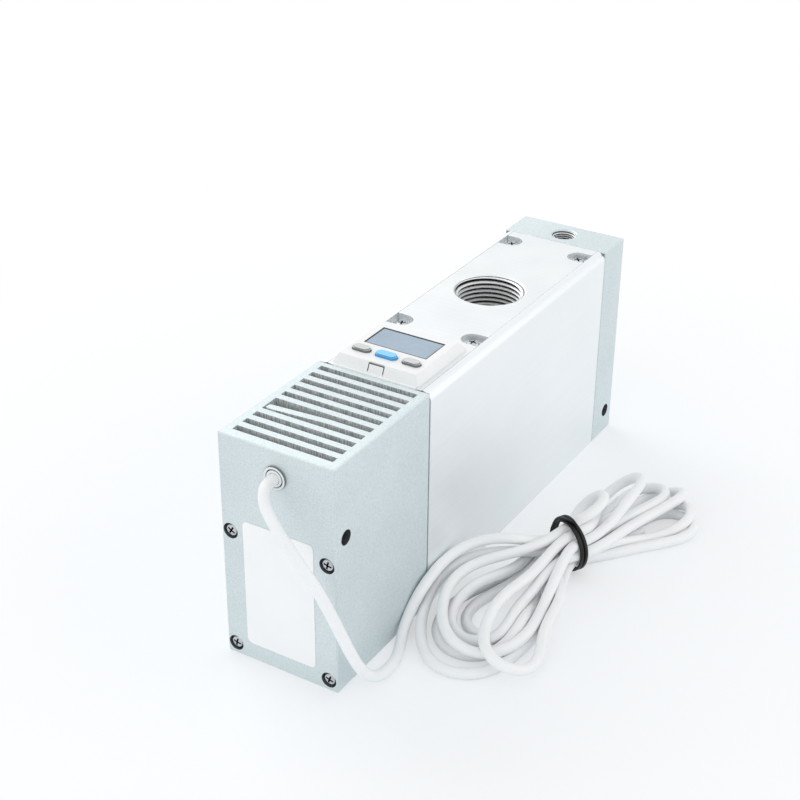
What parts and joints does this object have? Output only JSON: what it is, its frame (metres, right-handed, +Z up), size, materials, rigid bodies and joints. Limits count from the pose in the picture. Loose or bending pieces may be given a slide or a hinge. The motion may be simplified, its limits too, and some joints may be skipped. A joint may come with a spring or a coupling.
{
  "type": "vacuum ejector",
  "caption": "Multistage vacuum ejector: compressed air from the small port draws a vacuum at the large port, with a slotted exhaust silencer, a digital vacuum switch and its lead in a tied hank",
  "frame": {"origin": "middle of the body on its bottom face, without the free cable", "axes": "+X across the body to the side where the cable lies, +Y along the body from the exhaust end to the supply end, +Z up"},
  "size_m": [0.1055, 0.2244, 0.0922],
  "materials": {
    "blasted_aluminium": "bead-blasted, matte",
    "anodised_aluminium": "clear anodised, satin",
    "cast_aluminium": "as cast, matte",
    "plated_steel": "nickel plated, satin",
    "gasket_rubber": "matte",
    "seal_rubber": "matte",
    "nozzle_brass": "turned",
    "diffuser_plastic": "moulded, matte",
    "filter_felt": "porous felt",
    "silencer_foam": "open-cell foam",
    "switch_white": "moulded, semi-matte",
    "window_blue_grey": "dark display behind a clear pane, satin",
    "black_plastic": "moulded, matte",
    "board_green": "solder mask",
    "button_grey": "moulded, matte",
    "button_blue": "moulded, semi-matte",
    "cable_white": "PVC sheath, semi-matte",
    "grommet_white": "moulded, matte",
    "label_white": "satin film, blank",
    "tie_black": "matte"
  },
  "bodies": {
    "root": {"body_housing": "anodised_aluminium", "top_cover": "anodised_aluminium", "vacuum_sleeve": "anodised_aluminium", "filter_struts": "cast_aluminium", "cover_gasket": "gasket_rubber", "case_front": "blasted_aluminium", "exhaust_case": "blasted_aluminium", "exhaust_gasket": "gasket_rubber", "supply_block": "blasted_aluminium", "supply_gasket": "gasket_rubber", "case_screws": "plated_steel", "supply_screws": "plated_steel", "cover_screws": "plated_steel", "ejector_core": "cast_aluminium", "nozzle_lower": "nozzle_brass", "nozzle_upper": "nozzle_brass", "nozzle_seals": "seal_rubber", "first_diffuser_lower": "diffuser_plastic", "first_diffuser_upper": "diffuser_plastic", "second_diffuser_lower": "diffuser_plastic", "second_diffuser_upper": "diffuser_plastic", "third_diffuser_lower": "diffuser_plastic", "third_diffuser_upper": "diffuser_plastic", "diffuser_seals": "seal_rubber", "first_valve_retainer": "cast_aluminium", "second_valve_retainer": "cast_aluminium", "retainer_screws": "plated_steel", "suction_filter": "filter_felt", "silencer_foam": "silencer_foam", "grille_foam": "silencer_foam", "switch_case": "switch_white", "switch_back": "switch_white", "switch_gasket": "gasket_rubber", "display_window": "window_blue_grey", "display_module": "black_plastic", "circuit_board": "board_green", "tact_switches": "black_plastic", "pressure_sensor": "cast_aluminium", "sensor_seal": "seal_rubber", "cable_socket": "diffuser_plastic", "cable_inside": "cable_white", "cable_grommet": "grommet_white", "label_plate": "label_white", "switch_cable": "cable_white", "cable_hank": "cable_white", "cable_tie": "tie_black"},
    "up_button": {"up_button": "button_grey"},
    "set_button": {"set_button": "button_blue"},
    "down_button": {"down_button": "button_grey"},
    "first_check_valve": {"first_check_valve": "seal_rubber"},
    "second_check_valve": {"second_check_valve": "seal_rubber"}
  },
  "joints": [
    {"name": "up_press", "type": "slide", "parent": "root", "child": "up_button", "axis": [0, 0, -1], "range_m": [0, 0.0005], "stiffness_N_per_m": 600, "springref_m": -0.0003},
    {"name": "set_press", "type": "slide", "parent": "root", "child": "set_button", "axis": [0, 0, -1], "range_m": [0, 0.0005], "stiffness_N_per_m": 600, "springref_m": -0.0003},
    {"name": "down_press", "type": "slide", "parent": "root", "child": "down_button", "axis": [0, 0, -1], "range_m": [0, 0.0005], "stiffness_N_per_m": 600, "springref_m": -0.0003},
    {"name": "first_valve_swing", "type": "hinge", "parent": "root", "child": "first_check_valve", "pos_m": [0, 0.041, 0.0526], "axis": [-1, 0, 0], "range_deg": [0, 20], "stiffness_Nm_per_rad": 0.004, "springref_deg": -5.73},
    {"name": "second_valve_swing", "type": "hinge", "parent": "root", "child": "second_check_valve", "pos_m": [0, 0.003, 0.0526], "axis": [-1, 0, 0], "range_deg": [0, 20], "stiffness_Nm_per_rad": 0.004, "springref_deg": -5.73}
  ]
}
